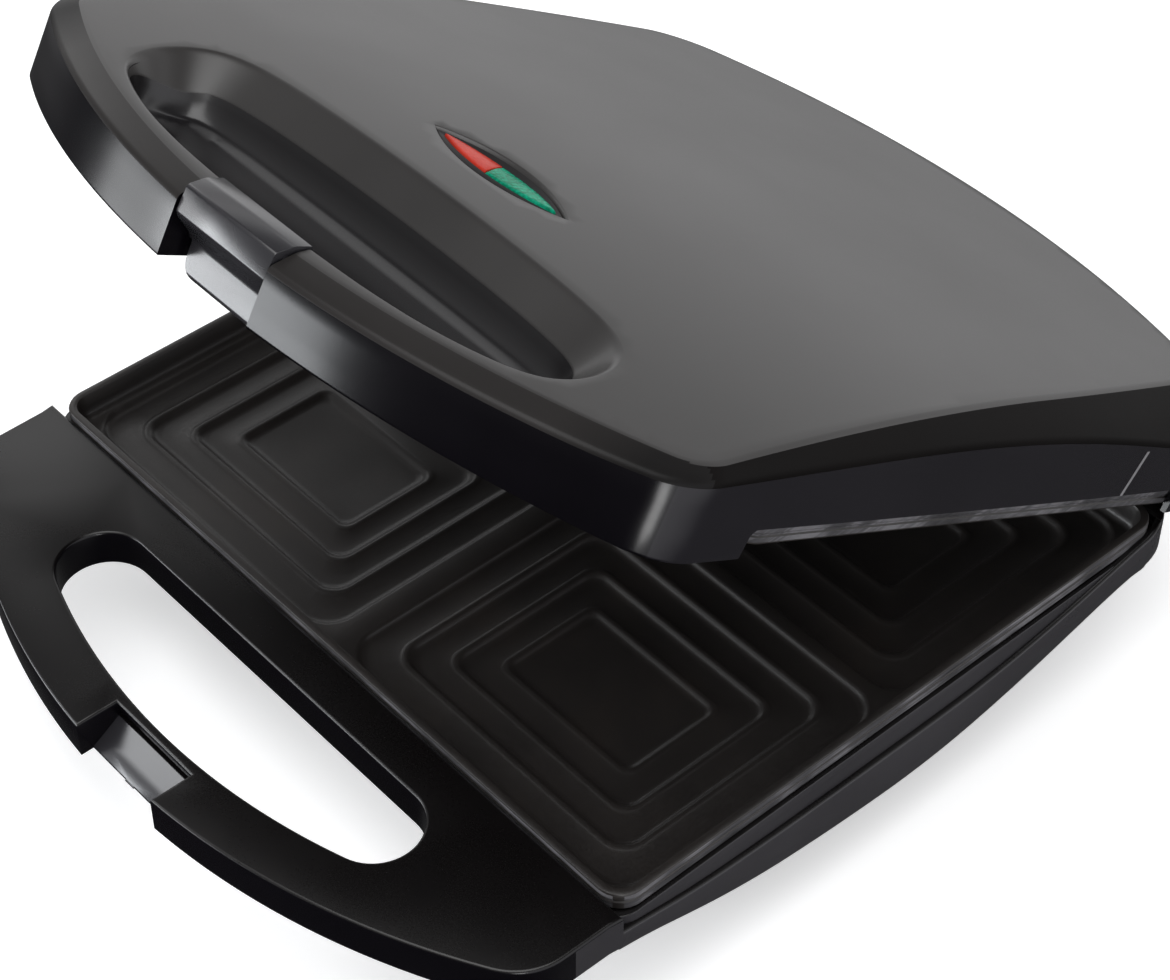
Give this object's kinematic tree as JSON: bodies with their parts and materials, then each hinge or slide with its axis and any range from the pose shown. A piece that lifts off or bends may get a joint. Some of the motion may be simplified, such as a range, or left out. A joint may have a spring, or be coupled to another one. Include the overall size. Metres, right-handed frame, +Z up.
{
  "type": "sandwich toaster",
  "caption": "Sandwich toaster with two hinged coated plates, a bowed handle bar on each half, a pivoting latch, red and green indicator lenses and the heating parts inside.",
  "frame": {"origin": "on the worktop plane, under the middle of the bounding box of the toaster standing with its lid open as at rest", "axes": "+X to the right-hand side seen from the front, +Y to the back where the hinge is, +Z up"},
  "size_m": [0.266, 0.3458, 0.216],
  "materials": {
    "brass": "satin",
    "casing": "gloss",
    "ceramic": "matte",
    "coated_plate": "satin non-stick",
    "deck": "satin",
    "element_tube": "satin",
    "foot_rubber": "matte",
    "green_lens": "gloss",
    "hinge_metal": "satin",
    "lamp_glass": "gloss",
    "latch_gloss": "gloss",
    "lid_top": "satin",
    "pin_steel": "polished",
    "red_lens": "gloss",
    "screw_steel": "satin",
    "sheet_metal": "satin",
    "thermo_metal": "satin",
    "wire_jacket": "matte"
  },
  "bodies": {
    "base": {"base_shell": "casing", "base_handle_cover": "deck", "base_tub": "deck", "feet": "foot_rubber", "base_screws": "screw_steel", "handle_screws": "screw_steel", "lower_plate": "coated_plate", "lower_plate_screws": "screw_steel", "lower_element": "element_tube", "lower_element_ends": "ceramic", "lower_element_clips": "sheet_metal", "lower_reflector": "sheet_metal", "thermostat": "thermo_metal", "thermal_fuse": "ceramic", "terminal_block": "ceramic", "terminal_screws": "brass", "base_wiring": "wire_jacket", "cord_gland": "foot_rubber", "hinge_pins": "pin_steel"},
    "lid": {"lid_shell": "lid_top", "lid_frame": "deck", "lid_handle_cover": "deck", "lid_screws": "screw_steel", "hinge_arms": "hinge_metal", "hinge_arm_screws": "screw_steel", "upper_plate": "coated_plate", "upper_plate_screws": "screw_steel", "upper_element": "element_tube", "upper_element_ends": "ceramic", "upper_element_clips": "sheet_metal", "upper_reflector": "sheet_metal", "indicator_bezel": "deck", "red_lens": "red_lens", "green_lens": "green_lens", "lamp_holder": "ceramic", "neon_lamps": "lamp_glass", "lid_wiring": "wire_jacket", "latch_pin": "pin_steel"},
    "latch_lever": {"latch": "latch_gloss"}
  },
  "joints": [
    {"name": "lid_hinge", "type": "hinge", "parent": "base", "child": "lid", "pos_m": [0, 0.12016, 0.0398], "axis": [-1, 0, 0], "range_deg": [-29.84, 60.16]},
    {"name": "latch_pivot", "type": "hinge", "parent": "lid", "child": "latch_lever", "pos_m": [0, -0.11265, 0.21093], "axis": [-1, 0, 0], "range_deg": [0, 30]}
  ]
}
